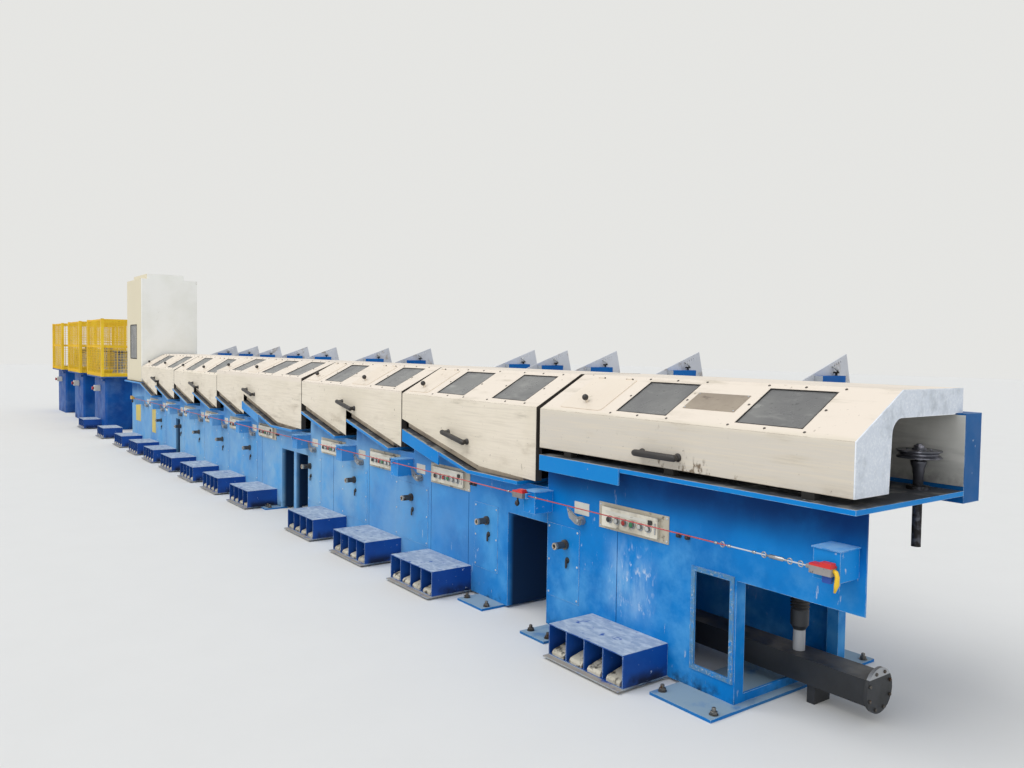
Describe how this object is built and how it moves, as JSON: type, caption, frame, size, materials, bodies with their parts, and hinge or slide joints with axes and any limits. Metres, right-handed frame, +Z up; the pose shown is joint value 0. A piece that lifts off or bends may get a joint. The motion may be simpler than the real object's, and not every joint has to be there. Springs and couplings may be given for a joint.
{
  "type": "wire drawing machine",
  "caption": "Straight-line wire drawing machine with inclined drawing stations under hinged hoods, a tall inlet housing, foot pedal boxes along the front and caged upright blocks.",
  "frame": {"origin": "middle of the overall outline, on the floor", "axes": "+X along the line towards the wire outlet, -Y to the operator, +Z up"},
  "size_m": [21.06, 1.6654, 2.695],
  "materials": {
    "base_blue": "worn",
    "pedal_blue": "worn",
    "hood_cream": "satin",
    "pane_grey": "satin",
    "cage_yellow": "satin",
    "bare_steel": "worn",
    "dark_steel": "worn",
    "liner_white": "satin",
    "lift_grey": "satin",
    "switch_red": "satin",
    "rope_red": "matte",
    "beige_plastic": "matte",
    "duct_grey": "worn"
  },
  "bodies": {
    "line_base": {"base_frames": "base_blue", "near_frame": "base_blue", "foot_plates": "base_blue", "work_tables": "base_blue", "table_coamings": "bare_steel", "rear_wall": "base_blue", "wall_liner": "liner_white", "hood_hinges": "bare_steel", "drawing_blocks": "bare_steel", "die_boxes": "dark_steel", "sheave_post": "bare_steel", "rope_brackets": "base_blue", "pull_rope": "rope_red", "stop_switches": "switch_red", "control_boxes": "beige_plastic", "push_buttons": "beige_plastic", "selector_levers": "lift_grey", "crank_stubs": "bare_steel", "service_covers": "base_blue", "pedal_boxes": "pedal_blue", "foot_pedals": "beige_plastic", "lift_plates": "lift_grey", "lift_bars": "base_blue", "drain_duct": "duct_grey", "inlet_housing": "liner_white", "drum_bases": "pedal_blue", "drum_cages": "cage_yellow", "upright_blocks": "bare_steel"},
    "hood_body_1": {"hood_1": "hood_cream", "windows_1": "pane_grey"},
    "hood_body_2": {"hood_2": "hood_cream", "windows_2": "pane_grey"},
    "hood_body_3": {"hood_3": "hood_cream", "windows_3": "pane_grey"},
    "hood_body_4": {"hood_4": "hood_cream", "windows_4": "pane_grey"},
    "hood_body_5": {"hood_5": "hood_cream", "windows_5": "pane_grey"},
    "hood_body_6": {"hood_6": "hood_cream", "windows_6": "pane_grey"},
    "hatch_body_1": {"hatch_1": "hood_cream"},
    "hatch_body_2": {"hatch_2": "hood_cream"},
    "hatch_body_3": {"hatch_3": "hood_cream"},
    "hatch_body_4": {"hatch_4": "hood_cream"},
    "hatch_body_5": {"hatch_5": "hood_cream"},
    "hatch_body_6": {"hatch_6": "hood_cream"},
    "hatch_body_7": {"hatch_7": "hood_cream"},
    "hatch_body_8": {"hatch_8": "hood_cream"},
    "hatch_body_9": {"hatch_9": "hood_cream"},
    "hatch_body_10": {"hatch_10": "hood_cream"},
    "sheave_wheel": {"exit_sheave": "dark_steel"}
  },
  "joints": [
    {"name": "hood_1_hinge", "type": "hinge", "parent": "line_base", "child": "hood_body_1", "pos_m": [-0.46, 0.30765, 1.368], "axis": [-1, 0, 0], "range_deg": [0, 55]},
    {"name": "hood_2_hinge", "type": "hinge", "parent": "line_base", "child": "hood_body_2", "pos_m": [1.45, 0.30765, 1.368], "axis": [-1, 0, 0], "range_deg": [0, 55]},
    {"name": "hood_3_hinge", "type": "hinge", "parent": "line_base", "child": "hood_body_3", "pos_m": [3.69, 0.30765, 1.368], "axis": [-1, 0, 0], "range_deg": [0, 55]},
    {"name": "hood_4_hinge", "type": "hinge", "parent": "line_base", "child": "hood_body_4", "pos_m": [5.93, 0.30765, 1.368], "axis": [-1, 0, 0], "range_deg": [0, 55]},
    {"name": "hood_5_hinge", "type": "hinge", "parent": "line_base", "child": "hood_body_5", "pos_m": [7.6925, 0.30765, 1.368], "axis": [-1, 0, 0], "range_deg": [0, 55]},
    {"name": "hood_6_hinge", "type": "hinge", "parent": "line_base", "child": "hood_body_6", "pos_m": [9.511, 0.30765, 1.368], "axis": [-1, 0, 0], "range_deg": [0, 55]},
    {"name": "hatch_1_hinge", "type": "hinge", "parent": "hood_body_1", "child": "hatch_body_1", "pos_m": [-1.24, -0.24788, 1.44516], "axis": [-1, 0, 0], "range_deg": [0, 80]},
    {"name": "hatch_2_hinge", "type": "hinge", "parent": "hood_body_1", "child": "hatch_body_2", "pos_m": [-0.285, -0.24788, 1.44516], "axis": [-1, 0, 0], "range_deg": [0, 80]},
    {"name": "hatch_3_hinge", "type": "hinge", "parent": "hood_body_2", "child": "hatch_body_3", "pos_m": [0.67, -0.25195, 1.44165], "axis": [-1, 0, 0], "range_deg": [0, 80]},
    {"name": "hatch_4_hinge", "type": "hinge", "parent": "hood_body_2", "child": "hatch_body_4", "pos_m": [1.625, -0.25195, 1.44165], "axis": [-1, 0, 0], "range_deg": [0, 80]},
    {"name": "hatch_5_hinge", "type": "hinge", "parent": "hood_body_3", "child": "hatch_body_5", "pos_m": [2.58, -0.22916, 1.45828], "axis": [-1, 0, 0], "range_deg": [0, 80]},
    {"name": "hatch_6_hinge", "type": "hinge", "parent": "hood_body_3", "child": "hatch_body_6", "pos_m": [3.535, -0.22916, 1.45828], "axis": [-1, 0, 0], "range_deg": [0, 80]},
    {"name": "hatch_7_hinge", "type": "hinge", "parent": "hood_body_4", "child": "hatch_body_7", "pos_m": [5.15, -0.23909, 1.45194], "axis": [-1, 0, 0], "range_deg": [0, 80]},
    {"name": "hatch_8_hinge", "type": "hinge", "parent": "hood_body_4", "child": "hatch_body_8", "pos_m": [6.105, -0.23909, 1.45194], "axis": [-1, 0, 0], "range_deg": [0, 80]},
    {"name": "hatch_9_hinge", "type": "hinge", "parent": "hood_body_5", "child": "hatch_body_9", "pos_m": [7.06, -0.24465, 1.44777], "axis": [-1, 0, 0], "range_deg": [0, 80]},
    {"name": "hatch_10_hinge", "type": "hinge", "parent": "hood_body_6", "child": "hatch_body_10", "pos_m": [8.8325, -0.24667, 1.44616], "axis": [-1, 0, 0], "range_deg": [0, 80]},
    {"name": "sheave_spin", "type": "hinge", "parent": "line_base", "child": "sheave_wheel", "pos_m": [10.39, 0.11765, 1.168], "axis": [0, 0, 1], "continuous": true}
  ]
}
